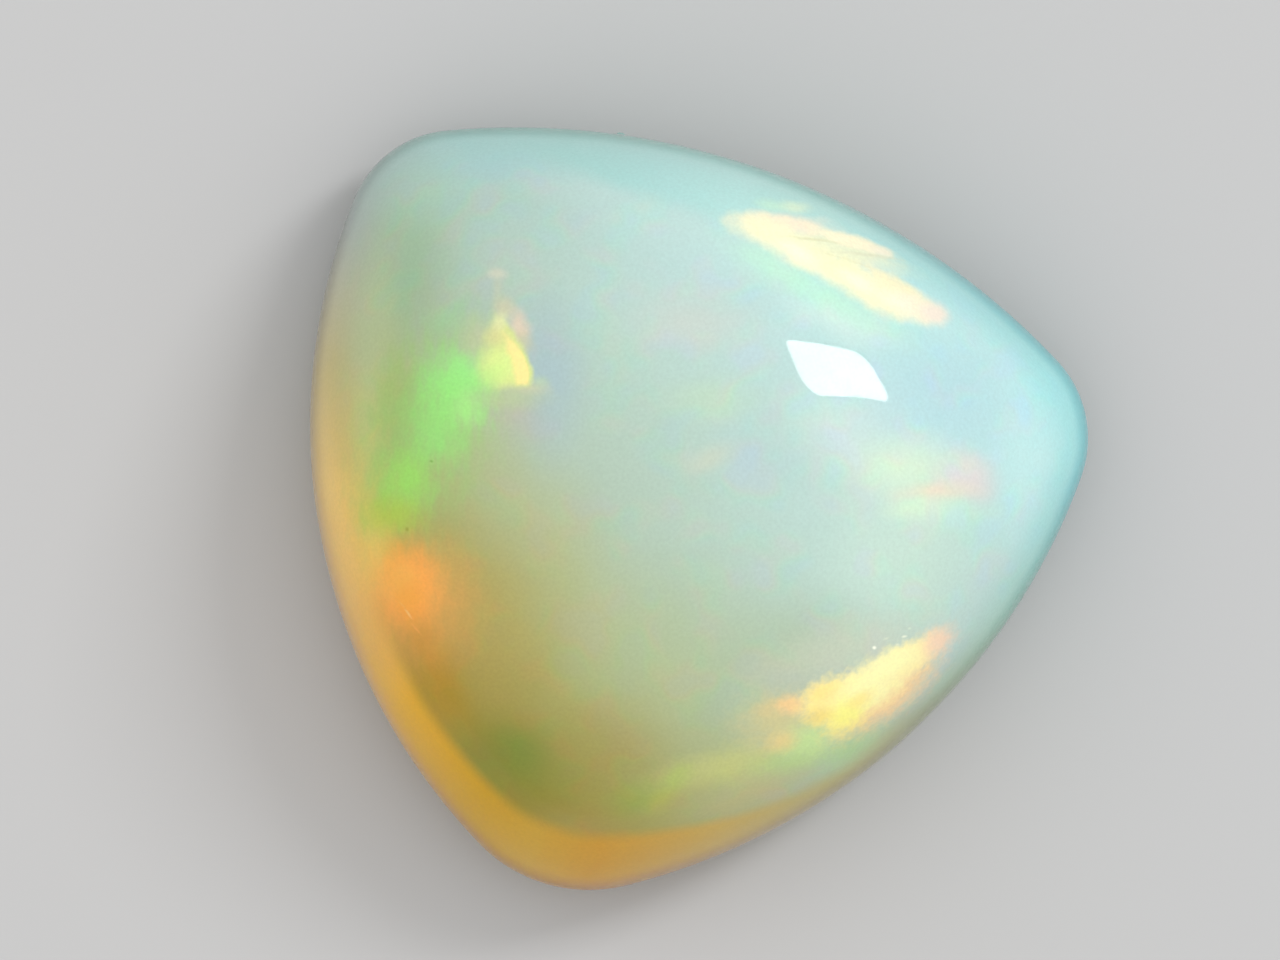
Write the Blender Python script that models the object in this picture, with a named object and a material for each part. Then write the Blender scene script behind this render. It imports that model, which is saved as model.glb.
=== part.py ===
"""A polished opal cabochon with a rounded-triangle outline.

The stone is one solid: a flat back, a rounded bevel that swells out to the girdle, and a dome.
Metres, +Z up, with the flat back on z = 0 and the middle of the outline's box on the origin.
"""

import math

import bmesh
import bpy
from mathutils import Vector

MM = 0.001
NODE = "opal_cabochon"

# The outline seen from above, in millimetres. Three corner rounds are joined by three long side arcs.
CORNER_CENTRES = (Vector((4.27, 1.06)), Vector((-3.76, 4.11)), Vector((-1.71, -3.56)))
CORNER_RADII = (1.74, 1.72, 2.37)
# Side 0 runs from corner 0 to corner 1, and so on round.
SIDE_RADII = (11.48, 9.35, 9.95)

# Heights and the peak of the dome, in millimetres
TOTAL_HEIGHT = 5.3
GIRDLE_HEIGHT = 1.05
PEAK = Vector((-0.57, 0.29))

# The back is flat inside a rounded bevel of this width in plan.
BEVEL_WIDTH = 1.85
BEVEL_POWER = 1.6

# The dome's profile is a superellipse that starts upright at the girdle.
DOME_PLAN_POWER = 2.4
DOME_RISE_POWER = 2.0
# The top is round: its level lines are circles that would have this radius at the girdle.
# They take the outline's shape only near the rim, the later the higher this power is.
PEAK_CIRCLE = 6.0
CIRCLE_POWER = 5

AROUND = 120
DOME_RINGS = 26
BEVEL_RINGS = 8
BACK_RINGS = 2


def cross(a, b):
    return a.x * b.y - a.y * b.x


def side_centre(i):
    """Centre of side arc i, which touches both of its corner rounds from outside."""
    first, second = CORNER_CENTRES[i], CORNER_CENTRES[(i + 1) % 3]
    reach_first = SIDE_RADII[i] - CORNER_RADII[i]
    reach_second = SIDE_RADII[i] - CORNER_RADII[(i + 1) % 3]
    span = (second - first).length
    along = (reach_first**2 - reach_second**2 + span**2) / (2 * span)
    away = math.sqrt(reach_first**2 - along**2)
    direction = (second - first) / span
    inward = Vector((-direction.y, direction.x))
    return first + along * direction + away * inward


SIDE_CENTRES = [side_centre(i) for i in range(3)]


def far_hit(start, direction, centre, radius):
    """How far a ray travels before it leaves a circle, or None if it misses the circle."""
    offset = start - centre
    half = offset.dot(direction)
    inside = half**2 - offset.length_squared + radius**2
    if inside < 0:
        return None
    return math.sqrt(inside) - half


def reach(direction):
    """Distance from the peak to the outline."""
    for i, centre in enumerate(SIDE_CENTRES):
        distance = far_hit(PEAK, direction, centre, SIDE_RADII[i])
        spoke = PEAK + distance * direction - centre
        from_first = cross(CORNER_CENTRES[i] - centre, spoke)
        to_second = cross(spoke, CORNER_CENTRES[(i + 1) % 3] - centre)
        if from_first >= 0 and to_second >= 0:
            return distance
    rounds = zip(CORNER_CENTRES, CORNER_RADII)
    hits = [far_hit(PEAK, direction, centre, radius) for centre, radius in rounds]
    return max(hit for hit in hits if hit is not None)


def dome_point(direction, share):
    """A point of the dome. share is 0 at the peak and 1 at the girdle."""
    full = PEAK_CIRCLE + (reach(direction) - PEAK_CIRCLE) * share**CIRCLE_POWER
    plan = PEAK + direction * full * share
    rise = (1 - share**DOME_PLAN_POWER) ** (1 / DOME_RISE_POWER)
    return plan, GIRDLE_HEIGHT + (TOTAL_HEIGHT - GIRDLE_HEIGHT) * rise


def bevel_point(direction, share):
    """A point of the bevel. share is 0 at the girdle and 1 at the flat back."""
    out = math.cos(share * math.pi / 2) ** (2 / BEVEL_POWER)
    down = math.sin(share * math.pi / 2) ** (2 / BEVEL_POWER)
    plan = PEAK + direction * (reach(direction) - BEVEL_WIDTH * (1 - out))
    return plan, GIRDLE_HEIGHT * (1 - down)


def back_point(direction, share):
    """A point of the flat back. share is 0 at the bevel and 1 in the middle."""
    return PEAK + direction * (reach(direction) - BEVEL_WIDTH) * (1 - share), 0.0


def shaped(point, middle):
    """Where a point of the unit sphere goes. Its ring says how far down the stone it lies."""
    rings = DOME_RINGS + BEVEL_RINGS + BACK_RINGS
    ring = math.acos(max(-1.0, min(1.0, point.z))) / math.pi * rings
    angle = math.atan2(point.y, point.x)
    direction = Vector((math.cos(angle), math.sin(angle)))
    if ring <= DOME_RINGS:
        # A sine spaces the rings evenly along the curve, with no wide gap at the upright girdle.
        plan, height = dome_point(direction, math.sin(ring / DOME_RINGS * math.pi / 2))
    elif ring <= DOME_RINGS + BEVEL_RINGS:
        plan, height = bevel_point(direction, (ring - DOME_RINGS) / BEVEL_RINGS)
    else:
        plan, height = back_point(direction, (ring - DOME_RINGS - BEVEL_RINGS) / BACK_RINGS)
    plan = plan - middle
    return Vector((plan.x, plan.y, height)) * MM


def outline_middle():
    """The middle of the outline's box, which becomes the origin."""
    points = []
    for i in range(AROUND):
        angle = 2 * math.pi * i / AROUND
        direction = Vector((math.cos(angle), math.sin(angle)))
        points.append(PEAK + direction * reach(direction))
    xs = [point.x for point in points]
    ys = [point.y for point in points]
    return Vector((min(xs) + max(xs), min(ys) + max(ys))) / 2


def opal_material():
    material = bpy.data.materials.new("opal")
    material.use_nodes = True
    shader = material.node_tree.nodes["Principled BSDF"]
    shader.inputs["Base Color"].default_value = (0.50, 0.62, 0.50, 1)
    shader.inputs["Roughness"].default_value = 0.05
    shader.inputs["Metallic"].default_value = 0.0
    shader.inputs["IOR"].default_value = 1.45
    return material


def stone(collection):
    """The cabochon, from a sphere whose rings are moved onto the dome, the bevel and the back."""
    shape = bmesh.new()
    rings = DOME_RINGS + BEVEL_RINGS + BACK_RINGS
    bmesh.ops.create_uvsphere(shape, u_segments=AROUND, v_segments=rings, radius=1)
    middle = outline_middle()
    for vertex in shape.verts:
        vertex.co = shaped(vertex.co, middle)
    bmesh.ops.recalc_face_normals(shape, faces=shape.faces)
    mesh = bpy.data.meshes.new(NODE)
    shape.to_mesh(mesh)
    shape.free()
    mesh.shade_smooth()
    mesh.materials.append(opal_material())
    cabochon = bpy.data.objects.new(NODE, mesh)
    collection.objects.link(cabochon)
    return cabochon


def main():
    for obj in list(bpy.data.objects):
        bpy.data.objects.remove(obj)
    collection = bpy.data.collections.new("opal cabochon")
    bpy.context.scene.collection.children.link(collection)
    stone(collection)


main()
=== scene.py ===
"""An opal cabochon with play of colour, on a pale floor in soft studio light.

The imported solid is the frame. One finer stone replaces it: the same outline, dome, bevel and flat
back, with the slight waves of a hand polish. All of its colour comes from procedural nodes.
"""

import math

import bmesh
import bpy
from mathutils import Matrix, Vector, noise


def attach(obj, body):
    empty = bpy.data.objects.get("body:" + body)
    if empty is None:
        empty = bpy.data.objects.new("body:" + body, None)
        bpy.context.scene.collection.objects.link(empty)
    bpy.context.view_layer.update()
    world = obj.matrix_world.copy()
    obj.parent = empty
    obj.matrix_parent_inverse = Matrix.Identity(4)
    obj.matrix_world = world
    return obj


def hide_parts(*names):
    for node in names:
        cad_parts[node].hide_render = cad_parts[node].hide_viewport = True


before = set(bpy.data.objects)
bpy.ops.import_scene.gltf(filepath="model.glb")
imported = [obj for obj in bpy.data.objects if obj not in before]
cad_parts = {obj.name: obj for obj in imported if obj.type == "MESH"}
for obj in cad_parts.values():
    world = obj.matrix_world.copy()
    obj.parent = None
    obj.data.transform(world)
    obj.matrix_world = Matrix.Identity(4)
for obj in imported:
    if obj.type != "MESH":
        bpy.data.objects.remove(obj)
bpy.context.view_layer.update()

MM = 0.001
NODE = "opal_cabochon"

# The stone in millimetres, as in the solid. Its outline is three corner rounds joined by three side arcs.
CORNER_CENTRES = (Vector((4.27, 1.06)), Vector((-3.76, 4.11)), Vector((-1.71, -3.56)))
CORNER_RADII = (1.74, 1.72, 2.37)
SIDE_RADII = (11.48, 9.35, 9.95)
TOTAL_HEIGHT = 5.3
GIRDLE_HEIGHT = 1.05
PEAK = Vector((-0.57, 0.29))
BEVEL_WIDTH = 1.85
BEVEL_POWER = 1.6
DOME_PLAN_POWER = 2.4
DOME_RISE_POWER = 2.0
PEAK_CIRCLE = 6.0
CIRCLE_POWER = 5

# How much opal bends light, and how far light spreads inside it in millimetres
REFRACTIVE_INDEX = 1.4
SCATTER_DEPTH = 1.0

# The finer mesh. The vertices that meet at the peak, at the seam and in the back's middle are joined.
AROUND = 720
DOME_RINGS = 84
BEVEL_RINGS = 20
BACK_RINGS = 6
WELD_DISTANCE = 0.000001

# The unevenness of the polish, as the length and height of each wave, and a tiny lump on the girdle
POLISH_WAVES = ((2.6, 0.008), (1.0, 0.002))
NUB_PIXEL = (621, 133)
NUB_HEIGHT = 0.045
NUB_WIDTH = 0.045

# The body's colour runs along this direction: its places in millimetres, its colours as in a picture. They
# are partly the stone's own colour and partly painted light: pale aqua painted on the side towards the key
# light, and a honey glow of light that passed through the stone painted on the far side.
BODY_TURN = math.radians(38.5)
BODY_START = -5.0
BODY_END = 5.0
BODY_AND_LIGHT_STOPS = (
    (-5.0, (152, 138, 68)),
    (-4.2, (160, 152, 86)),
    (-3.4, (171, 168, 108)),
    (-2.0, (181, 190, 150)),
    (-0.9, (184, 203, 186)),
    (0.8, (193, 217, 207)),
    (2.4, (198, 225, 221)),
    (5.0, (197, 232, 230)),
)

# Soft dabs of colour. Each has its middle and half-widths in pixels of the photograph, its turn in
# degrees, how much of it is a fading edge, its colour as in the picture, and its strength.
# The washes tune the body's colours, its painted light included: the honey glow on the lower left and the
# light on the lit upper right.
WASHES = (
    ((392, 255), (50, 100), 0, 0.95, (169, 191, 164), 0.8),
    ((418, 290), (26, 62), 0, 0.95, (156, 187, 155), 0.5),
    ((425, 190), (50, 30), 0, 0.95, (168, 198, 184), 0.6),
    ((378, 420), (34, 90), 0, 0.95, (190, 192, 130), 0.6),
    ((362, 330), (24, 90), 0, 0.95, (182, 194, 158), 0.6),
    ((368, 460), (22, 60), 0, 0.95, (200, 202, 130), 0.6),
    ((370, 522), (28, 40), 0, 0.95, (194, 196, 106), 0.8),
    ((500, 165), (60, 22), 0, 0.95, (164, 200, 204), 0.6),
    ((520, 140), (50, 10), 0, 0.95, (180, 196, 196), 0.6),
    ((548, 375), (28, 60), 0, 0.95, (172, 194, 208), 0.55),
    ((500, 410), (36, 22), -20, 0.95, (190, 188, 176), 0.5),
    ((470, 640), (50, 70), 0, 0.95, (184, 162, 98), 0.5),
    ((430, 695), (28, 44), 20, 0.95, (174, 143, 68), 0.8),
    ((512, 760), (50, 34), -20, 0.95, (136, 142, 74), 0.65),
    ((519, 754), (28, 22), -20, 0.95, (123, 144, 76), 0.5),
    ((635, 795), (22, 12), 20, 0.95, (150, 170, 92), 0.5),
    ((596, 755), (50, 40), 0, 0.95, (160, 150, 88), 0.5),
    ((575, 822), (40, 18), 0, 0.95, (166, 146, 92), 0.6),
    ((755, 785), (62, 22), 20, 0.95, (192, 184, 138), 0.6),
    ((880, 742), (34, 14), 40, 0.95, (186, 178, 136), 0.6),
    ((940, 395), (60, 50), 0, 0.95, (192, 226, 231), 0.7),
    ((846, 425), (44, 36), 0, 0.95, (213, 232, 227), 0.75),
    ((905, 560), (66, 74), 0, 0.95, (207, 229, 214), 0.75),
    ((785, 655), (60, 44), 20, 0.95, (180, 196, 170), 0.7),
    ((925, 400), (60, 40), 0, 0.95, (194, 224, 228), 0.4),
    ((1035, 490), (36, 60), 0, 0.95, (199, 233, 232), 0.7),
    ((1042, 388), (24, 36), 0, 0.95, (176, 225, 227), 0.7),
    ((675, 640), (84, 60), -20, 0.95, (180, 194, 156), 0.5),
    ((660, 210), (120, 32), -20, 0.95, (202, 227, 222), 0.7),
    ((835, 322), (42, 13), -20, 0.95, (220, 241, 233), 0.7),
    ((695, 320), (48, 20), 0, 0.95, (211, 218, 210), 0.7),
    ((713, 400), (36, 18), 0, 0.95, (202, 226, 197), 0.55),
    ((708, 457), (26, 10), 20, 0.9, (214, 218, 198), 0.6),
    ((760, 450), (34, 30), 0, 0.9, (188, 214, 216), 0.5),
    ((905, 466), (50, 24), 0, 0.9, (221, 241, 218), 0.9),
    ((966, 480), (25, 22), 0, 0.8, (232, 222, 220), 0.85),
    ((932, 492), (32, 9), 0, 0.95, (236, 230, 208), 0.8),
    ((920, 507), (30, 9), 0, 0.9, (224, 242, 216), 0.75),
    ((950, 515), (40, 12), 0, 0.95, (208, 238, 222), 0.5),
)
GREEN_FLASH = (
    ((434, 430), (44, 90), -25, 0.9, (160, 204, 128), 0.7),
    ((402, 412), (20, 50), 0, 0.95, (158, 190, 118), 0.5),
    ((446, 322), (18, 12), 0, 0.9, (164, 208, 160), 0.4),
    ((462, 386), (30, 27), -25, 0.85, (162, 234, 139), 0.85),
    ((472, 366), (22, 12), 0, 0.9, (168, 232, 152), 0.4),
    ((440, 425), (24, 34), 0, 0.9, (157, 224, 130), 0.7),
    ((468, 412), (12, 14), 0, 0.8, (180, 232, 148), 0.5),
    ((409, 482), (21, 26), 0, 0.9, (161, 218, 110), 0.75),
    ((395, 516), (26, 14), 0, 0.9, (178, 200, 92), 0.7),
    ((434, 462), (1.8, 1.5), 0, 0.7, (110, 160, 70), 0.5),
    ((409, 527), (1.5, 2.0), 0, 0.7, (130, 140, 60), 0.5),
)
WEDGE_FLASH = (
    ((478, 340), (14, 18), 0, 0.9, (200, 204, 166), 0.6),
    ((510, 398), (30, 10), 0, 0.95, (194, 206, 160), 0.6),
    ((505, 309), (9, 10), 0, 0.9, (212, 206, 175), 0.7),
    ((499, 276), (8, 5), 0, 0.8, (216, 216, 196), 0.7),
    ((499, 291), (4, 10), 0, 0.9, (200, 206, 178), 0.5),
    ((520, 327), (9, 13), 12, 0.8, (232, 212, 190), 0.8),
    ((524, 345), (8, 10), 30, 0.9, (212, 206, 162), 0.5),
    ((530, 388), (16, 6), 0, 0.9, (212, 210, 172), 0.6),
    ((541, 383), (8, 5), 0, 0.9, (192, 214, 184), 0.6),
)
# The wedge is a patch with a brighter streak in it, round this pixel. A patch has its corners, clockwise in
# the picture, and how soft the edge after each corner is, in pixels.
WEDGE_PIXEL = (512, 358)
WEDGE_BODY = (
    ((500, 318), 7),
    ((513, 330), 8),
    ((527, 352), 6),
    ((535, 374), 7),
    ((531, 386), 12),
    ((496, 390), 18),
    ((482, 372), 26),
    ((487, 345), 22),
)
WEDGE_INSIDE = (
    ((501, 325), (6, 9), -15, 0.9, (230, 232, 182), 0.8),
    ((497, 338), (10, 8), 0, 0.9, (222, 216, 158), 0.6),
    ((503, 366), (16, 14), 0, 0.9, (225, 246, 158), 0.7),
    ((490, 378), (12, 10), 0, 0.9, (198, 236, 148), 0.6),
)
WEDGE_STREAK = (
    ((508, 338), 9),
    ((518, 345), 5),
    ((525, 356), 4),
    ((530, 371), 4),
    ((529, 384), 7),
    ((519, 385), 11),
    ((514, 369), 11),
    ((509, 352), 11),
)
WEDGE_COLOUR = (220, 228, 158)
STREAK_COLOUR = (252, 235, 164)
ORANGE_FLASH = (
    ((422, 602), (46, 52), 0, 0.85, (216, 166, 98), 0.8),
    ((380, 560), (16, 30), 0, 0.9, (231, 198, 116), 0.6),
    ((409, 586), (27, 36), 6, 0.8, (249, 174, 94), 1.0),
    ((402, 578), (14, 20), 0, 0.9, (253, 184, 102), 0.5),
    ((413, 598), (14, 16), 0, 0.9, (246, 168, 84), 0.5),
    ((424, 640), (15, 20), 25, 0.9, (206, 152, 82), 0.5),
)
ORANGE_SCRATCH = (
    ((411, 613), (5, 1.0), -52, 0.8, (255, 198, 134), 0.8),
    ((405, 603), (4, 0.9), -50, 0.9, (255, 190, 118), 0.4),
    ((418, 628), (6, 0.9), -52, 0.9, (240, 178, 108), 0.4),
)
CREAM_FLASH = (
    ((815, 294), (76, 12), -28, 0.9, (205, 249, 223), 0.65),
    ((768, 262), (28, 10), -28, 0.9, (206, 246, 222), 0.5),
    ((838, 250), (58, 12), -18, 0.7, (240, 243, 212), 0.95),
    ((781, 226), (43, 9), -6, 0.6, (254, 241, 216), 0.95),
    ((850, 243), (36, 6), -18, 0.5, (254, 247, 217), 1.0),
    ((878, 252), (10, 4.5), -18, 0.7, (246, 241, 218), 0.9),
    ((763, 233), (31, 13), -18, 0.6, (254, 251, 216), 1.0),
    ((800, 254), (36, 14), -28, 0.5, (254, 253, 218), 1.0),
    ((846, 277), (40, 16), -28, 0.5, (254, 253, 215), 1.0),
    ((888, 299), (36, 18), -28, 0.45, (254, 250, 215), 1.0),
    ((916, 309), (24, 13), -28, 0.5, (252, 246, 220), 1.0),
    ((932, 314), (13, 9), -18, 0.8, (248, 236, 222), 0.9),
    ((892, 283), (30, 5), -28, 0.7, (254, 245, 206), 0.7),
    ((797, 255), (18, 6), -28, 0.9, (255, 255, 236), 0.6),
    ((856, 284), (16, 6), -28, 0.9, (255, 255, 236), 0.6),
    ((893, 304), (16, 7), -28, 0.9, (255, 255, 236), 0.5),
    ((812, 242), (22, 1.2), -6, 0.9, (228, 227, 186), 0.6),
    ((866, 257), (26, 1.4), -6, 0.9, (226, 227, 198), 0.6),
    ((845, 262), (28, 1.0), -18, 0.9, (236, 233, 194), 0.4),
    ((793, 209), (13, 5), -6, 0.9, (224, 240, 214), 0.8),
    ((770, 207), (12, 5), -6, 0.9, (208, 240, 214), 0.6),
    ((826, 222), (8, 3), -18, 0.9, (214, 230, 220), 0.5),
)
YELLOW_FLASH = (
    ((845, 650), (72, 24), 15, 0.95, (210, 212, 192), 0.55),
    ((729, 762), (62, 15), 15, 0.9, (206, 208, 138), 0.6),
    ((675, 776), (15, 9), 35, 0.95, (172, 198, 108), 0.45),
    ((661, 798), (15, 9), 35, 0.95, (180, 186, 100), 0.45),
    ((780, 720), (36, 24), 0, 0.95, (214, 204, 152), 0.8),
    ((850, 746), (34, 11), 35, 0.95, (174, 206, 155), 0.7),
    ((798, 755), (40, 12), 15, 0.95, (180, 208, 142), 0.6),
    ((810, 736), (26, 15), 15, 0.95, (202, 228, 162), 0.75),
    ((768, 706), (14, 8), 15, 0.9, (218, 202, 152), 0.7),
    ((790, 702), (13, 8), 0, 0.7, (242, 209, 156), 0.9),
    ((780, 739), (13, 9), 15, 0.9, (228, 208, 152), 0.8),
    ((882, 694), (56, 20), 35, 0.6, (248, 212, 160), 0.9),
    ((834, 699), (34, 23), 15, 0.4, (252, 236, 166), 1.0),
    ((870, 683), (45, 21), 35, 0.45, (254, 244, 184), 1.0),
    ((906, 657), (36, 13), 35, 0.5, (254, 238, 180), 1.0),
    ((936, 640), (17, 11), 35, 0.8, (245, 214, 188), 0.85),
    ((844, 714), (20, 14), 35, 0.8, (250, 243, 144), 0.8),
    ((886, 665), (28, 10), 35, 0.8, (255, 251, 194), 0.8),
    ((818, 714), (12, 8), 15, 0.9, (236, 214, 132), 0.6),
    ((858, 698), (13, 6), 35, 0.9, (251, 226, 150), 0.6),
    ((820, 691), (14, 8), 15, 0.9, (251, 229, 154), 0.7),
)
# Painted glints: tiny points of light painted into the colour beside the yellow flash.
GLINTS = (
    ((872, 646), (1.7, 1.5), 0, 0.8, (252, 254, 236), 0.9),
    ((902, 635), (2.4, 1.0), 10, 0.8, (240, 244, 226), 0.8),
    ((895, 643), (1.8, 1.0), 0, 0.8, (236, 238, 214), 0.6),
    ((884, 637), (2.6, 1.0), 20, 0.9, (230, 236, 214), 0.5),
    ((907, 627), (1.6, 1.0), 0, 0.8, (226, 240, 220), 0.5),
)

# The patchwork in the body: the size of a patch, the factors that tint it by the noise's value, and the
# values of a second noise between which it comes in
MOSAIC_SIZE = 0.7
MOSAIC_STOPS = (
    (0.34, (0.97, 1.0, 1.05)),
    (0.43, (0.96, 1.03, 1.0)),
    (0.5, (1.02, 1.02, 0.98)),
    (0.57, (1.06, 0.98, 0.99)),
    (0.66, (1.03, 0.98, 1.05)),
)
MOSAIC_SHOWS = (0.42, 0.6)

# The rim's colours as in the picture, by the angle in degrees round the dome's peak: painted light, the
# glow of light that passes through the stone to the back's bevel, honey on the lower left and aqua on the
# lit upper right. They were read this many millimetres inside the outline.
PEAK_PIXEL = (662, 490)
RIM_PLACE = 0.6
RIM_GLOW_STOPS = (
    (0, (163, 221, 222)),
    (30, (168, 224, 224)),
    (60, (189, 228, 221)),
    (75, (190, 227, 222)),
    (90, (182, 220, 216)),
    (105, (173, 212, 207)),
    (120, (165, 200, 196)),
    (140, (172, 182, 174)),
    (160, (197, 183, 131)),
    (180, (224, 192, 121)),
    (200, (221, 181, 110)),
    (220, (210, 166, 70)),
    (240, (187, 151, 67)),
    (250, (184, 152, 80)),
    (260, (187, 147, 78)),
    (280, (192, 167, 102)),
    (300, (183, 177, 122)),
    (320, (167, 178, 146)),
    (340, (172, 211, 196)),
    (360, (163, 221, 222)),
)
# How far inside the outline the rim ends, and how soft that end is, in pixels. From the left to the bottom
# it is the edge of the flat back, which shows through the dome as a line: a painted image of the back seen
# through the stone, where the rim's painted glow ends.
LINE_STOPS = (
    (0, 26, 26),
    (58, 30, 26),
    (72, 66, 14),
    (98, 59, 12),
    (112, 38, 24),
    (130, 30, 24),
    (160, 34, 28),
    (180, 46, 26),
    (200, 48, 20),
    (211, 42, 12),
    (222, 42, 9),
    (240, 52, 9),
    (252, 59, 10),
    (262, 57, 10),
    (272, 45, 7),
    (282, 33, 6),
    (295, 22, 8),
    (315, 18, 12),
    (340, 22, 22),
    (360, 26, 26),
)
LINE_LIMIT = 100
# The very edge, this many millimetres wide, is darker by these factors: painted shade that stands in for
# dark surroundings reflected at the grazing edge, in place of the pale floor's reflection.
LIMB_SHADE_WIDTH = 0.25
LIMB_SHADE_STOPS = (
    (0, (0.36, 0.71, 0.76)),
    (30, (0.34, 0.71, 0.77)),
    (60, (0.41, 0.72, 0.7)),
    (90, (0.46, 0.72, 0.66)),
    (120, (0.5, 0.66, 0.62)),
    (140, (0.68, 0.66, 0.68)),
    (180, (0.8, 0.74, 0.7)),
    (220, (1.0, 0.92, 0.85)),
    (245, (0.8, 0.68, 0.4)),
    (265, (0.75, 0.6, 0.3)),
    (300, (0.68, 0.55, 0.25)),
    (320, (0.62, 0.62, 0.36)),
    (340, (0.4, 0.66, 0.6)),
    (360, (0.36, 0.71, 0.76)),
)

# The flashes are gone below this height and full from this far above it, in millimetres.
FLASH_FLOOR = 0.5
FLASH_FADE = 0.7

# Noise with another seed is taken from a place this far away, in millimetres.
SEED_STEP = 31.7
# Hardly any noise lies outside these values.
NOISE_RANGE = (0.2, 0.8)

# Noise moves the colours about: the size of its features and how far they move, in millimetres
BODY_DRIFT = (2.4, 0.5)
WASH_DRIFT = (1.2, 0.2)
GREEN_DRIFT = (0.5, 0.1)
WEDGE_DRIFT = (0.35, 0.04)
ORANGE_DRIFT = (0.6, 0.08)
CREAM_DRIFT = (0.4, 0.05)
YELLOW_DRIFT = (0.4, 0.05)

# Noise makes the edges of a flash uneven: the size of its features in millimetres, and its depth as a share
# of a dab. Strokes stretch the noise by these factors.
GREEN_MOTTLE = (0.3, 0.4)
GREEN_STROKES = (2.0, 0.8, 1.0)
WEDGE_MOTTLE = (0.2, 0.2)
ORANGE_MOTTLE = (0.3, 0.14)
ORANGE_STROKES = (2.5, 1.0, 1.0)
CREAM_MOTTLE = (0.25, 0.18)
YELLOW_MOTTLE = (0.12, 0.2)

# How round the corners of a patch are, and how far its edge reaches either way, as shares of its softness
PATCH_ROUND = 0.5
PATCH_EDGE = 0.5

# The finest grain of the colour: its size in millimetres, the noise's values that it uses and its strength
GRAIN_SIZE = 0.05
GRAIN_RANGE = (0.3, 0.7)
GRAIN_STRENGTH = 0.035

# The finish, in millimetres: the size of the uneven gloss, the size, stretch and height of the sanding
# lines, and the height below which the bevel is sanded. Each roughness runs from one value to the other.
POLISH_SIZE = 0.5
POLISH_ROUGHNESS = (0.02, 0.05)
BACK_EDGE = 0.2
BACK_ROUGHNESS = (0.14, 0.26)
SANDING_SIZE = 0.3
SANDING_STRETCH = (0.6, 9.0, 1.0)
SANDING_HEIGHT = 0.002

# The photograph: the pixel over the outline's middle, the middle of its frame and its scale
PHOTO_MIDDLE = (699.0, 508.5)
PHOTO_CENTRE = (640.0, 480.0)
PHOTO_WIDTH = 1280
MM_PER_PIXEL = 0.015464

# The camera, in millimetres, and the distances between which it sees, in metres
CAMERA_DISTANCE = 330.0
SENSOR_WIDTH = 36.0
CAMERA_SEES = (0.01, 10)

# The key light is a soft panel whose reflection is the stone's one sharp highlight. Its corners are
# round: each has its place on the panel and its radius. The lamp that gives its light is a plain rectangle.
# All of this is in millimetres.
KEY_TILT = math.radians(46.7)
KEY_AZIMUTH = math.radians(34.6)
KEY_ROLL = math.radians(-112)
KEY_DISTANCE = 500.0
KEY_CORNERS = (
    ((-101, 58), 16),
    ((86, 43), 48),
    ((96, -52), 20),
    ((-125, -50), 34),
)
KEY_CENTRE = Vector((-12, 0, 0))
KEY_LENGTH = 196.0
KEY_WIDTH = 94.0
KEY_RADIANCE = 15.0
CORNER_STEPS = 10

# The soft light from all round, at the walls and overhead
HORIZON_RADIANCE = 0.4
ZENITH_RADIANCE = 1.3

# The floor, in metres. It lies a hair below the stone.
FLOOR_COLOUR = (0.47, 0.47, 0.47, 1)
FLOOR_ROUGHNESS = 0.9
FLOOR_SIZE = 4.0
FLOOR_DROP = 0.00002

# What this studio does to the stone, as measured on it in plain grey and in black. White would show as this
# light, which falls off to the lower left, outwards and towards the edge. Reflections add a veil. The edge
# begins at this depth inside the outline, in millimetres.
LIGHT_MIDDLE = 1.11
LIGHT_SLOPE = Vector((0.02, 0.024, 0))
LIGHT_FALL = 0.005
EDGE_SHADE = 0.26
EDGE_DEPTH = 1.4
VEIL = 0.03
EDGE_VEIL = 0.07


def cross(a, b):
    return a.x * b.y - a.y * b.x


def side_centre(i):
    """Centre of side arc i, which touches both of its corner rounds from outside."""
    first, second = CORNER_CENTRES[i], CORNER_CENTRES[(i + 1) % 3]
    reach_first = SIDE_RADII[i] - CORNER_RADII[i]
    reach_second = SIDE_RADII[i] - CORNER_RADII[(i + 1) % 3]
    span = (second - first).length
    along = (reach_first**2 - reach_second**2 + span**2) / (2 * span)
    away = math.sqrt(reach_first**2 - along**2)
    direction = (second - first) / span
    inward = Vector((-direction.y, direction.x))
    return first + along * direction + away * inward


SIDE_CENTRES = [side_centre(i) for i in range(3)]


def far_hit(start, direction, centre, radius):
    """How far a ray travels before it leaves a circle, or None if it misses the circle."""
    offset = start - centre
    half = offset.dot(direction)
    inside = half**2 - offset.length_squared + radius**2
    if inside < 0:
        return None
    return math.sqrt(inside) - half


def reach(direction):
    """Distance from the peak to the outline."""
    for i, centre in enumerate(SIDE_CENTRES):
        distance = far_hit(PEAK, direction, centre, SIDE_RADII[i])
        spoke = PEAK + distance * direction - centre
        from_first = cross(CORNER_CENTRES[i] - centre, spoke)
        to_second = cross(spoke, CORNER_CENTRES[(i + 1) % 3] - centre)
        if from_first >= 0 and to_second >= 0:
            return distance
    hits = [far_hit(PEAK, direction, *corner) for corner in zip(CORNER_CENTRES, CORNER_RADII)]
    return max(hit for hit in hits if hit is not None)


def dome_point(limit, share):
    """Distance from the peak's axis, and height.

    limit is the reach this way. share is 0 at the peak and 1 at the girdle.
    """
    full = PEAK_CIRCLE + (limit - PEAK_CIRCLE) * share**CIRCLE_POWER
    rise = (1 - share**DOME_PLAN_POWER) ** (1 / DOME_RISE_POWER)
    return full * share, GIRDLE_HEIGHT + (TOTAL_HEIGHT - GIRDLE_HEIGHT) * rise


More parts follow.
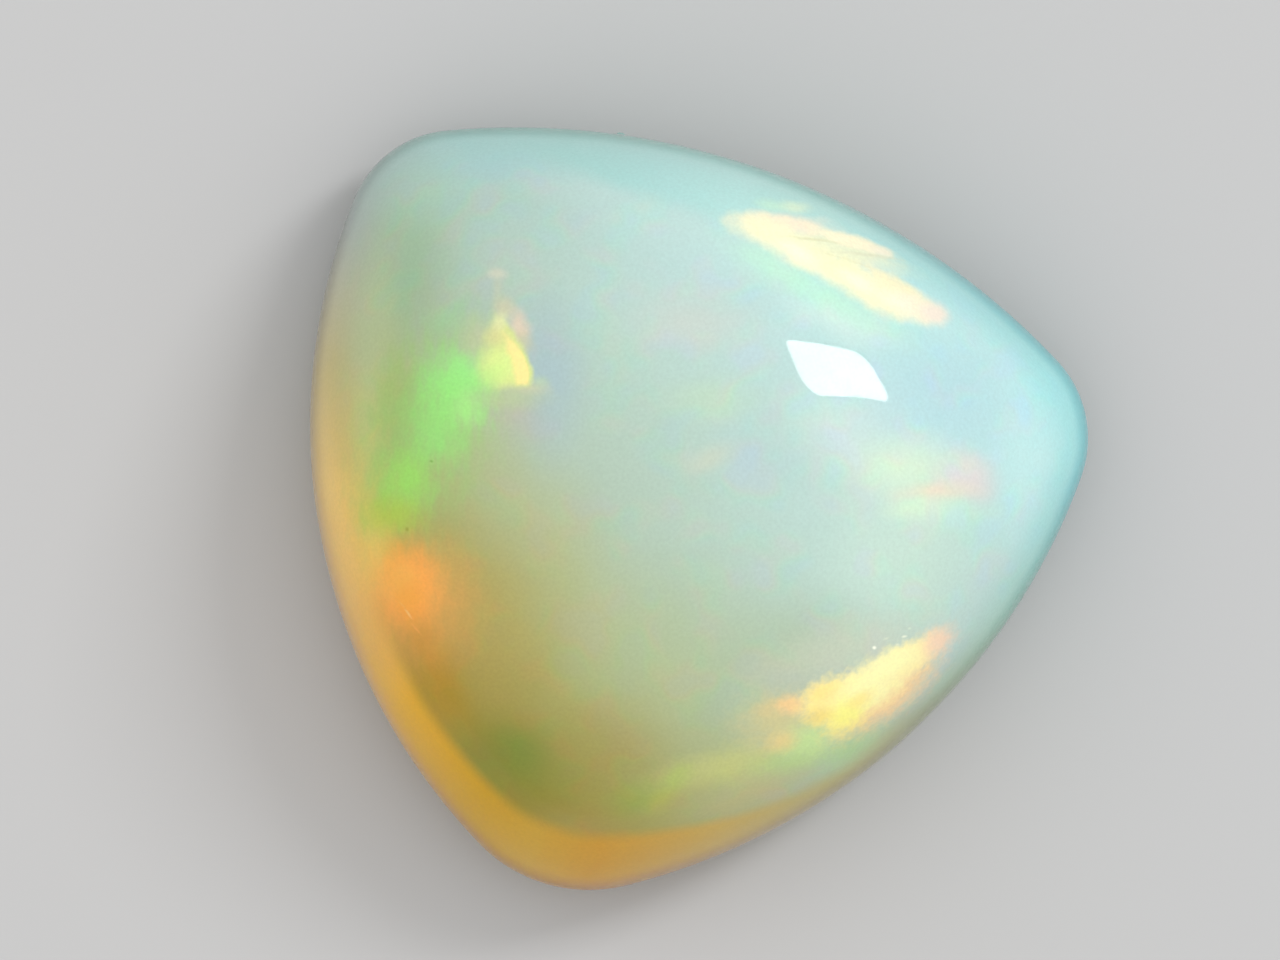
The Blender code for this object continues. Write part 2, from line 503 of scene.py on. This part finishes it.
def bevel_point(limit, share):
    """The same for the bevel, from the girdle to the flat back."""
    out = math.cos(share * math.pi / 2) ** (2 / BEVEL_POWER)
    down = math.sin(share * math.pi / 2) ** (2 / BEVEL_POWER)
    return limit - BEVEL_WIDTH * (1 - out), GIRDLE_HEIGHT * (1 - down)


def ring_point(limit, ring):
    """The same for a ring of the mesh. Rings are counted down from the peak."""
    if ring <= DOME_RINGS:
        return dome_point(limit, math.sin(ring / DOME_RINGS * math.pi / 2))
    if ring <= DOME_RINGS + BEVEL_RINGS:
        return bevel_point(limit, (ring - DOME_RINGS) / BEVEL_RINGS)
    return (limit - BEVEL_WIDTH) * (1 - (ring - DOME_RINGS - BEVEL_RINGS) / BACK_RINGS), 0.0


def outline_middle(spokes):
    """The middle of the outline's box, which is the origin."""
    points = [PEAK + direction * limit for direction, limit in spokes]
    xs = [point.x for point in points]
    ys = [point.y for point in points]
    return Vector((min(xs) + max(xs), min(ys) + max(ys))) / 2


def polish_wave(place):
    """The slight unevenness of a dome that was ground and polished by hand."""
    waves = sum(height * noise.noise(place / size) for size, height in POLISH_WAVES)
    return waves * min(1.0, place.z / GIRDLE_HEIGHT)


def nub(place, middle):
    """A tiny lump on the girdle."""
    away = (place.xy - middle - at_pixel(NUB_PIXEL).xy).length
    level = (place.z - GIRDLE_HEIGHT) / NUB_WIDTH
    return NUB_HEIGHT * math.exp(-(away / NUB_WIDTH) ** 2 - level**2)


def stone_mesh():
    """The stone's surface, from a grid that is wrapped round it from the peak to the back's middle.

    Each vertex keeps how far inside the outline it lies, in millimetres.
    """
    shape = bmesh.new()
    rings = DOME_RINGS + BEVEL_RINGS + BACK_RINGS
    bmesh.ops.create_grid(shape, x_segments=AROUND, y_segments=rings, size=1)
    inset = shape.verts.layers.float.new("inset")
    step = 2 * math.pi / AROUND
    directions = [Vector((math.cos(i * step), math.sin(i * step))) for i in range(AROUND)]
    spokes = [(direction, reach(direction)) for direction in directions]
    middle = outline_middle(spokes)
    for vertex in shape.verts:
        column = round((vertex.co.x + 1) / 2 * AROUND)
        ring = rings - round((vertex.co.y + 1) / 2 * rings)
        direction, limit = spokes[column % AROUND]
        distance, height = ring_point(limit, ring)
        plan = PEAK + direction * distance
        vertex.co = (plan.x, plan.y, height)
        vertex[inset] = limit - distance
    bmesh.ops.remove_doubles(shape, verts=shape.verts, dist=WELD_DISTANCE)
    bmesh.ops.recalc_face_normals(shape, faces=shape.faces)
    shape.normal_update()
    for face in shape.faces:
        face.material_index = int(all(vertex.co.z < BACK_EDGE for vertex in face.verts))
    for vertex in shape.verts:
        swell = polish_wave(vertex.co) + nub(vertex.co, middle)
        place = vertex.co + vertex.normal * swell - middle.to_3d()
        vertex.co = place * MM
    mesh = bpy.data.meshes.new("polished_opal")
    shape.to_mesh(mesh)
    shape.free()
    mesh.shade_smooth()
    return mesh


def at_pixel(pixel):
    """The place on the stone, in millimetres, under a pixel of the photograph."""
    x = (pixel[0] - PHOTO_MIDDLE[0]) * MM_PER_PIXEL
    y = (PHOTO_MIDDLE[1] - pixel[1]) * MM_PER_PIXEL
    return Vector((x, y, 0))


class Graph:
    """Adds nodes to a material. Each method returns the socket that carries its result."""

    def __init__(self, tree):
        self.tree = tree
        self.turns = {}

    def feed(self, socket, value):
        if isinstance(value, bpy.types.NodeSocket):
            self.tree.links.new(value, socket)
        elif value is not None:
            socket.default_value = value

    def add(self, kind, values=(), output=0, **settings):
        """One node. values fill its first inputs in order, as numbers or sockets."""
        node = self.tree.nodes.new("ShaderNode" + kind)
        for name, setting in settings.items():
            setattr(node, name, setting)
        for socket, value in zip(node.inputs, values):
            self.feed(socket, value)
        return node.outputs[output]

    def math(self, operation, *values):
        return self.add("Math", values, operation=operation)

    def vector(self, operation, *values):
        output = "Value" if operation in ("LENGTH", "DOT_PRODUCT") else "Vector"
        return self.add("VectorMath", values, output, operation=operation)

    def split(self, kind, value):
        """The parts of a vector, kind XYZ, or of a colour, kind Color."""
        node = self.tree.nodes.new("ShaderNodeSeparate" + kind)
        self.feed(node.inputs[0], value)
        return node.outputs

    def smooth(self, value, start, end, top=1):
        """Rises softly from 0 at start to top at end, on either side of which it is level."""
        values = (value, start, end, 0, top)
        return self.add("MapRange", values, interpolation_type="SMOOTHSTEP", clamp=False)

    def scaled(self, value, low, high, start=0, end=1):
        """A value that runs from start to end, brought to run from low to high."""
        return self.add("MapRange", (value, start, end, low, high), clamp=False)

    def noise(self, point, size, seed, detail=2.0, output="Fac"):
        """Soft noise around 0.5, with features of about this size. Its Color is three such noises."""
        moved = self.vector("ADD", point, (SEED_STEP * seed, 0, 0))
        return self.add("TexNoise", (moved, None, 1 / size, detail), output)

    def warped(self, point, size, amount, seed):
        """The point moved about by noise, to make plain shapes uneven."""
        push = self.vector("SUBTRACT", self.noise(point, size, seed, output="Color"), (0.5, 0.5, 0.5))
        return self.vector("ADD", point, self.vector("SCALE", push, None, None, amount * 2))

    def mix(self, share, first, second, blend="MIX"):
        """The first colour where share is 0, and the second laid over it where share is 1."""
        node = self.tree.nodes.new("ShaderNodeMix")
        node.data_type = "RGBA"
        node.blend_type = blend
        # These are the node's sockets for colours. It has others of the same names.
        factor, first_colour, second_colour = node.inputs[0], node.inputs[6], node.inputs[7]
        for socket, value in ((factor, share), (first_colour, first), (second_colour, second)):
            self.feed(socket, value)
        return node.outputs[2]

    def ramp(self, value, stops):
        """A colour that changes with the value, from stop to stop."""
        node = self.tree.nodes.new("ShaderNodeValToRGB")
        elements = node.color_ramp.elements
        elements[0].position, elements[0].color = stops[0]
        elements[1].position, elements[1].color = stops[-1]
        for position, colour in stops[1:-1]:
            elements.new(position).color = colour
        self.feed(node.inputs[0], value)
        return node.outputs[0]

    def attribute(self, name):
        """A number that the mesh keeps at its vertices."""
        return self.add("Attribute", output="Fac", attribute_name=name)

    def turned(self, point, turn):
        """The point in axes turned by this many degrees. Dabs of the same turn share the result."""
        if turn == 0:
            return point
        if (point, turn) not in self.turns:
            angle = math.radians(turn)
            along = self.vector("DOT_PRODUCT", point, (math.cos(angle), math.sin(angle), 0))
            across = self.vector("DOT_PRODUCT", point, (-math.sin(angle), math.cos(angle), 0))
            self.turns[point, turn] = self.add("CombineXYZ", (along, across))
        return self.turns[point, turn]

    def oval(self, point, centre, radii, turn, fade, uneven, strength):
        """strength in the middle of an oval and 0 outside it. uneven moves its soft edge in and out."""
        middle = Matrix.Rotation(-math.radians(turn), 3, "Z") @ at_pixel(centre)
        shrink = Vector((1 / radii[0], 1 / radii[1], 0)) / MM_PER_PIXEL
        offset = self.vector("MULTIPLY_ADD", self.turned(point, turn), shrink, -middle * shrink)
        away = self.vector("LENGTH", offset)
        if uneven is not None:
            away = self.math("ADD", away, uneven)
        return self.smooth(away, 1 + fade, 1 - fade, strength)

    def patch(self, point, edges, uneven):
        """1 inside a convex shape and 0 outside it. Each edge has its own softness."""
        places = [at_pixel(corner) for corner, fade in edges]
        depth = None
        for start, end, (corner, fade) in zip(places, places[1:] + places[:1], edges):
            along = (end - start).normalized() / (fade * MM_PER_PIXEL)
            inward = Vector((along.y, -along.x, 0))
            side = self.vector("DOT_PRODUCT", point, inward)
            inside = self.math("SUBTRACT", side, start.dot(inward))
            depth = inside if depth is None else self.math("SMOOTH_MIN", depth, inside, PATCH_ROUND)
        return self.smooth(self.math("ADD", depth, uneven), -PATCH_EDGE, PATCH_EDGE)

    def uneven(self, point, size, amount, seed, detail=2.0):
        """Noise around 0 that reaches about this amount to either side."""
        grain = self.noise(point, size, seed, detail)
        return self.scaled(grain, -amount, amount, *NOISE_RANGE)

    def painted(self, colour, point, dabs, uneven=None):
        """The colour with soft dabs laid over it, one after another."""
        for centre, radii, turn, fade, tint, strength in dabs:
            share = self.oval(point, centre, radii, turn, fade, uneven, strength)
            colour = self.mix(share, colour, seen(tint, at_pixel(centre)))
        return colour


def edge_share(place):
    """0 in the middle of the stone, rising to 1 at its edge, for a place in the picture's plane."""
    offset = place.xy - at_pixel(PEAK_PIXEL).xy
    inset = reach(offset.normalized()) - offset.length
    return max(0.0, min(1.0, 1 - inset / EDGE_DEPTH)) ** 2


def linear(value):
    """The brightness that a picture's value of 0 to 255 stands for, by the usual curve of such pictures."""
    share = value / 255
    return share / 12.92 if share <= 0.04045 else ((share + 0.055) / 1.055) ** 2.4


def seen(colour, place):
    """The surface colour that shows as this one, given as in a picture, at this place of the stone. It is
    painted lighter where this studio's light falls off, to the lower left and towards the edge, and darker
    by the veil of reflections: painted light that evens out the render's own shading.
    """
    edge = edge_share(place)
    fall = LIGHT_FALL * place.length_squared + EDGE_SHADE * edge
    light = LIGHT_MIDDLE + place.dot(LIGHT_SLOPE) - fall
    veil = VEIL + EDGE_VEIL * edge
    parts = [(linear(value) - veil) / light for value in colour]
    return (*(max(0.0, min(1.0, part)) for part in parts), 1)


def rim_place(degrees):
    """Where the rim's colour was read, at an angle round the peak."""
    angle = math.radians(degrees)
    direction = Vector((math.cos(angle), math.sin(angle)))
    return at_pixel(PEAK_PIXEL) + (direction * (reach(direction) - RIM_PLACE)).to_3d()


def body_and_light_colour(graph, flat):
    """The milky body, from honey and olive on the lower left to pale aqua on the upper right, partly
    painted light: the aqua of the side towards the key light and the honey glow of light through the stone.
    """
    axis = Vector((math.cos(BODY_TURN), math.sin(BODY_TURN), 0))
    along = graph.vector("DOT_PRODUCT", graph.warped(flat, *BODY_DRIFT, seed=1), axis)
    share = graph.scaled(along, 0, 1, BODY_START, BODY_END)
    span = BODY_END - BODY_START
    stops = [((place - BODY_START) / span, seen(colour, axis * place)) for place, colour in BODY_AND_LIGHT_STOPS]
    return graph.ramp(share, stops)


def mosaic(graph, colour, point):
    """The faint patchwork of play of colour that fills the whole stone and tints what is under it."""
    cells = graph.split("Color", graph.noise(point, MOSAIC_SIZE, seed=3, detail=1, output="Color"))
    tint = graph.ramp(cells[0], [(place, (*factors, 1)) for place, factors in MOSAIC_STOPS])
    return graph.mix(graph.smooth(cells[1], *MOSAIC_SHOWS), colour, tint, "MULTIPLY")


def rim(graph, colour, flat, inset):
    """The rim's painted glow, whose inner end is sharp where the back's edge shows through the dome, and
    the painted shade of its very edge.
    """
    offset = graph.split("XYZ", graph.vector("SUBTRACT", flat, at_pixel(PEAK_PIXEL)))
    angle = graph.math("ARCTAN2", offset[1], offset[0])
    turn = graph.math("FRACT", graph.math("DIVIDE", angle, 2 * math.pi))
    rim_glows = [(degrees / 360, seen(tint, rim_place(degrees))) for degrees, tint in RIM_GLOW_STOPS]
    limb_shades = [(degrees / 360, (*factors, 1)) for degrees, factors in LIMB_SHADE_STOPS]
    # The line's place and its softness are the red and the green of one ramp.
    lines = []
    for degrees, line, soft in LINE_STOPS:
        lines.append((degrees / 360, (line / LINE_LIMIT, soft / LINE_LIMIT, 0, 1)))
    line = graph.split("Color", graph.ramp(turn, lines))
    depth = graph.math("DIVIDE", inset, LINE_LIMIT * MM_PER_PIXEL)
    inner = graph.math("ADD", line[0], line[1])
    outer = graph.math("SUBTRACT", line[0], line[1])
    colour = graph.mix(graph.smooth(depth, inner, outer), colour, graph.ramp(turn, rim_glows))
    # Painted shade at the very edge.
    edge = graph.smooth(inset, LIMB_SHADE_WIDTH, 0)
    return graph.mix(edge, colour, graph.ramp(turn, limb_shades), "MULTIPLY")


def green_flash(graph, colour, flat, point):
    place = graph.warped(flat, *GREEN_DRIFT, seed=4)
    strokes = graph.vector("MULTIPLY", point, GREEN_STROKES)
    mottle = graph.uneven(strokes, *GREEN_MOTTLE, seed=5, detail=3)
    return graph.painted(colour, place, GREEN_FLASH, mottle)


def wedge_flash(graph, colour, flat, point):
    place = graph.warped(flat, *WEDGE_DRIFT, seed=6)
    mottle = graph.uneven(point, *WEDGE_MOTTLE, seed=7)
    colour = graph.painted(colour, place, WEDGE_FLASH, mottle)
    body = graph.patch(place, WEDGE_BODY, mottle)
    colour = graph.mix(body, colour, seen(WEDGE_COLOUR, at_pixel(WEDGE_PIXEL)))
    colour = graph.painted(colour, place, WEDGE_INSIDE, mottle)
    streak = graph.patch(place, WEDGE_STREAK, mottle)
    return graph.mix(streak, colour, seen(STREAK_COLOUR, at_pixel(WEDGE_PIXEL)))


def orange_flash(graph, colour, flat, point):
    place = graph.warped(flat, *ORANGE_DRIFT, seed=8)
    strokes = graph.vector("MULTIPLY", point, ORANGE_STROKES)
    mottle = graph.uneven(strokes, *ORANGE_MOTTLE, seed=9)
    colour = graph.painted(colour, place, ORANGE_FLASH, mottle)
    return graph.painted(colour, place, ORANGE_SCRATCH)


def cream_flash(graph, colour, flat, point):
    place = graph.warped(flat, *CREAM_DRIFT, seed=10)
    mottle = graph.uneven(point, *CREAM_MOTTLE, seed=11)
    return graph.painted(colour, place, CREAM_FLASH, mottle)


def yellow_flash(graph, colour, flat, point):
    place = graph.warped(flat, *YELLOW_DRIFT, seed=12)
    mottle = graph.uneven(point, *YELLOW_MOTTLE, seed=13)
    colour = graph.painted(colour, place, YELLOW_FLASH, mottle)
    # The painted glints go on last.
    return graph.painted(colour, flat, GLINTS)


def speckled(graph, colour, point):
    """The colour with the finest grain of the play of colour."""
    grain = graph.noise(point, GRAIN_SIZE, seed=16)
    shade = graph.scaled(grain, 1 - GRAIN_STRENGTH, 1 + GRAIN_STRENGTH, *GRAIN_RANGE)
    return graph.vector("SCALE", colour, None, None, shade)


def opal_body_and_light(graph, flat, point):
    """The colour of the whole stone without its flashes, with the painted light of its body and rim and the
    painted shade at its edge.
    """
    colour = body_and_light_colour(graph, flat)
    colour = graph.painted(colour, graph.warped(flat, *WASH_DRIFT, seed=2), WASHES)
    colour = mosaic(graph, colour, point)
    return rim(graph, colour, flat, graph.attribute("inset"))


def opal_shader(name):
    """A milky, translucent material, with the place in millimetres that its nodes work from.

    flat is that place without its height, because the colours run straight down through the stone.
    """
    material = bpy.data.materials.new(name)
    material.use_nodes = True
    graph = Graph(material.node_tree)
    shader = material.node_tree.nodes["Principled BSDF"]
    shader.inputs["IOR"].default_value = REFRACTIVE_INDEX
    shader.inputs["Subsurface Weight"].default_value = 1.0
    shader.inputs["Subsurface Radius"].default_value = (1.0, 1.0, 1.0)
    shader.inputs["Subsurface Scale"].default_value = SCATTER_DEPTH * MM
    metres = graph.add("TexCoord", output="Object")
    point = graph.vector("SCALE", metres, None, None, 1 / MM)
    flat = graph.vector("MULTIPLY", point, (1, 1, 0))
    return material, graph, shader, point, flat


def polished_opal():
    """The dome and the bevel. Their slight waves are in the mesh, and their gloss varies a little."""
    material, graph, shader, point, flat = opal_shader("opal")
    body = opal_body_and_light(graph, flat, point)
    colour = green_flash(graph, body, flat, point)
    colour = wedge_flash(graph, colour, flat, point)
    colour = orange_flash(graph, colour, flat, point)
    colour = cream_flash(graph, colour, flat, point)
    colour = yellow_flash(graph, colour, flat, point)
    height = graph.split("XYZ", point)[2]
    above = graph.smooth(height, FLASH_FLOOR, FLASH_FLOOR + FLASH_FADE)
    colour = speckled(graph, graph.mix(above, body, colour), point)
    graph.feed(shader.inputs["Base Color"], colour)
    grain = graph.noise(point, POLISH_SIZE, seed=13)
    graph.feed(shader.inputs["Roughness"], graph.scaled(grain, *POLISH_ROUGHNESS))
    return material


def sanded_opal():
    """The flat back, which keeps the fine parallel lines of the last sanding."""
    material, graph, shader, point, flat = opal_shader("opal_back")
    body = opal_body_and_light(graph, flat, point)
    graph.feed(shader.inputs["Base Color"], speckled(graph, body, point))
    back = graph.smooth(graph.split("XYZ", point)[2], BACK_EDGE, 0)
    lines = graph.noise(graph.vector("MULTIPLY", point, SANDING_STRETCH), SANDING_SIZE, seed=17)
    gloss = POLISH_ROUGHNESS[1]
    sanded = graph.math("SUBTRACT", graph.scaled(lines, *BACK_ROUGHNESS), gloss)
    graph.feed(shader.inputs["Roughness"], graph.math("MULTIPLY_ADD", sanded, back, gloss))
    relief = graph.math("MULTIPLY", graph.math("MULTIPLY", lines, back), SANDING_HEIGHT)
    bump = graph.tree.nodes.new("ShaderNodeBump")
    bump.inputs["Distance"].default_value = MM
    graph.feed(bump.inputs["Height"], relief)
    graph.feed(shader.inputs["Normal"], bump.outputs[0])
    return material


def opal():
    mesh = stone_mesh()
    mesh.materials.append(polished_opal())
    mesh.materials.append(sanded_opal())
    stone = bpy.data.objects.new("polished_opal", mesh)
    bpy.context.scene.collection.objects.link(stone)
    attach(stone, "root")
    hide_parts(NODE)


def floor():
    bpy.ops.mesh.primitive_plane_add(size=FLOOR_SIZE, location=(0, 0, -FLOOR_DROP))
    plane = bpy.context.object
    plane.name = "floor"
    material = bpy.data.materials.new("floor")
    material.use_nodes = True
    shader = material.node_tree.nodes["Principled BSDF"]
    shader.inputs["Base Color"].default_value = FLOOR_COLOUR
    shader.inputs["Roughness"].default_value = FLOOR_ROUGHNESS
    plane.data.materials.append(material)


def camera():
    """Straight above the stone, as the photograph was taken, and placed for its framing."""
    data = bpy.data.cameras.new("camera")
    data.sensor_width = SENSOR_WIDTH
    data.lens = SENSOR_WIDTH * CAMERA_DISTANCE / (PHOTO_WIDTH * MM_PER_PIXEL)
    data.clip_start, data.clip_end = CAMERA_SEES
    view = bpy.data.objects.new("camera", data)
    place = at_pixel(PHOTO_CENTRE)
    view.location = Vector((place.x, place.y, GIRDLE_HEIGHT + CAMERA_DISTANCE)) * MM
    bpy.context.scene.collection.objects.link(view)
    bpy.context.scene.camera = view


def key_stand():
    """Where the key light stands and how it is turned, in millimetres."""
    away = Vector((math.cos(KEY_AZIMUTH), math.sin(KEY_AZIMUTH), 0)) * math.sin(KEY_TILT)
    away.z = math.cos(KEY_TILT)
    level = Vector((0, 0, 1)).cross(away).normalized()
    along = Matrix.Rotation(KEY_ROLL, 3, away) @ level
    turn = Matrix((along, away.cross(along), away)).transposed()
    return Matrix.Translation(away * KEY_DISTANCE) @ turn.to_4x4()


def round_corner(before, corner, after, radius):
    """Points of a rounded corner, from the side towards before to the side towards after."""
    back, on = (before - corner).normalized(), (after - corner).normalized()
    half = back.angle(on) / 2
    middle = corner + (back + on).normalized() * radius / math.sin(half)
    start = corner + back * radius / math.tan(half) - middle
    end = corner + on * radius / math.tan(half) - middle
    return [middle + radius * start.slerp(end, step / CORNER_STEPS) for step in range(CORNER_STEPS + 1)]


def key_panel():
    """The front of the key light, which is seen in reflections alone."""
    corners = [Vector(place) for place, radius in KEY_CORNERS]
    points = []
    for i, (place, radius) in enumerate(KEY_CORNERS):
        points += round_corner(corners[i - 1], corners[i], corners[(i + 1) % len(corners)], radius)
    stand = key_stand()
    mesh = bpy.data.meshes.new("key_panel")
    places = [stand @ point.to_3d() * MM for point in points]
    mesh.from_pydata(places, [], [range(len(places))])
    material = bpy.data.materials.new("key_panel")
    material.use_nodes = True
    shader = material.node_tree.nodes["Principled BSDF"]
    shader.inputs["Base Color"].default_value = (0, 0, 0, 1)
    shader.inputs["Emission Color"].default_value = (1, 1, 1, 1)
    shader.inputs["Emission Strength"].default_value = KEY_RADIANCE
    mesh.materials.append(material)
    panel = bpy.data.objects.new("key_panel", mesh)
    panel.visible_camera = False
    panel.visible_diffuse = False
    panel.visible_shadow = False
    bpy.context.scene.collection.objects.link(panel)


def key_light():
    """The light that the panel gives. Its own plain rectangle isn't reflected."""
    data = bpy.data.lights.new("key", "AREA")
    data.shape = "RECTANGLE"
    data.size = KEY_LENGTH * MM
    data.size_y = KEY_WIDTH * MM
    data.energy = KEY_RADIANCE * math.pi * data.size * data.size_y
    place = key_stand() @ Matrix.Translation(KEY_CENTRE)
    place.translation *= MM
    lamp = bpy.data.objects.new("key", data)
    lamp.matrix_world = place
    lamp.visible_glossy = False
    bpy.context.scene.collection.objects.link(lamp)


def studio():
    """Soft light from all round, brighter overhead than at the walls."""
    world = bpy.data.worlds.new("studio")
    world.use_nodes = True
    graph = Graph(world.node_tree)
    direction = graph.split("XYZ", graph.add("TexCoord", output="Generated"))
    height = graph.smooth(direction[2], 0, 1)
    background = graph.tree.nodes["Background"]
    background.inputs["Color"].default_value = (1, 1, 1, 1)
    graph.feed(background.inputs["Strength"], graph.scaled(height, HORIZON_RADIANCE, ZENITH_RADIANCE))
    bpy.context.scene.world = world
    bpy.context.scene.view_settings.view_transform = "Standard"


opal()
floor()
camera()
key_panel()
key_light()
studio()
